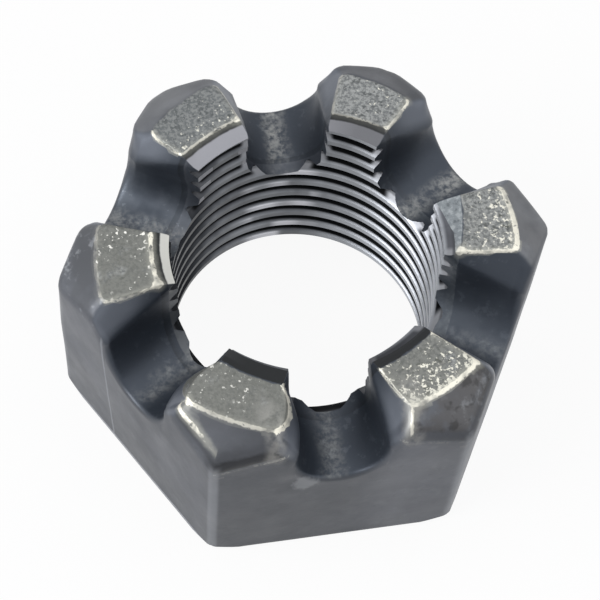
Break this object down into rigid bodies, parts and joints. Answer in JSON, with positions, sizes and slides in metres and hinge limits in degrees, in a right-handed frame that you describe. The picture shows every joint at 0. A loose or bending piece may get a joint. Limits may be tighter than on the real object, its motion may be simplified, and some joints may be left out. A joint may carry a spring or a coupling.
{
  "type": "hub nut",
  "caption": "Slotted hexagon nut of forged steel with a threaded bore. It holds a wheel hub on its spindle, and a split pin through its slots locks it.",
  "frame": {"origin": "centre of the bearing face, on the thread's axis", "axes": "+Z along the thread's axis from the bearing face to the slotted crown, +Y and -Y out of two opposite flats, +X and -X through two opposite corners"},
  "size_m": [0.0436, 0.0382, 0.0211],
  "materials": {
    "forged_steel": "dark oxide over a forged skin, worn to bare metal on the edges, the tine tops and the thread"
  },
  "bodies": {
    "root": {"hub_nut": "forged_steel"}
  },
  "joints": []
}
